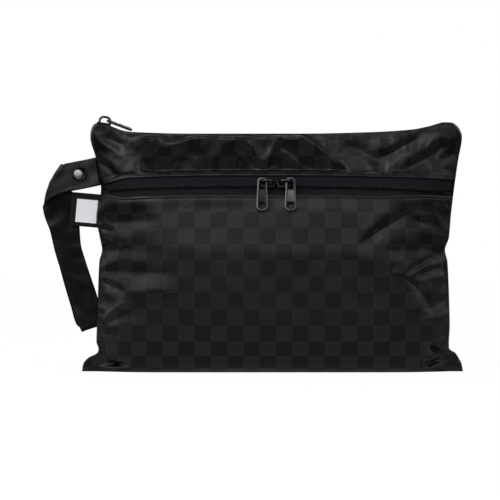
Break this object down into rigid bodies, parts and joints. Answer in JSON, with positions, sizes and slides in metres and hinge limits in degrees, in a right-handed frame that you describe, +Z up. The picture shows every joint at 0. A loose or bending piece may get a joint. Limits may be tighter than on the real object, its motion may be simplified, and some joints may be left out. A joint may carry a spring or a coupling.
{
  "type": "travel clutch",
  "caption": "Filled waterproof travel clutch that stands on its flattened base, with a zipped top, a zipped front pocket, a snapped wrist strap and a side label.",
  "frame": {"origin": "on the flat base, in the middle of the bag", "axes": "+Z up, -Y out of the front pocket, +X to the right seen from the front, so the strap is at -X"},
  "size_m": [0.3697, 0.066, 0.2258],
  "materials": {
    "cloth": "coated, black checker in satin and matte",
    "tape": "woven black tape",
    "coil": "black nylon coil",
    "metal": "black nickel",
    "strap": "coated cloth, edge stitched",
    "label": "woven, with a blank white field",
    "cap": "polished black nickel"
  },
  "bodies": {
    "bag": {"front_lower_panel": "cloth", "front_upper_panel": "cloth", "back_panel": "cloth", "front_zip_tape_upper": "tape", "front_zip_tape_lower": "tape", "main_zip_tape_front": "tape", "main_zip_tape_back": "tape", "front_zip_chain_left": "coil", "front_zip_chain_right": "coil", "main_zip_chain": "coil", "front_slider_left": "metal", "front_slider_right": "metal", "main_slider": "metal", "snap_joint": "metal", "snap_back": "metal", "wrist_strap": "strap", "side_label": "label", "snap_cap": "cap"},
    "left_pull": {"front_pull_left": "metal"},
    "right_pull": {"front_pull_right": "metal"},
    "top_pull": {"main_pull": "metal"}
  },
  "joints": [
    {"name": "front_pull_left_swing", "type": "hinge", "parent": "bag", "child": "left_pull", "pos_m": [-0.0092, -0.02527, 0.16631], "axis": [0, -0.9719, 0.2352], "range_deg": [-120, 14]},
    {"name": "front_pull_right_swing", "type": "hinge", "parent": "bag", "child": "right_pull", "pos_m": [0.0154, -0.02526, 0.16631], "axis": [0, -0.9719, 0.2352], "range_deg": [-14, 120]},
    {"name": "main_pull_lift", "type": "hinge", "parent": "bag", "child": "top_pull", "pos_m": [-0.14502, 0, 0.22064], "axis": [0, -1, 0], "range_deg": [0, 150]}
  ]
}
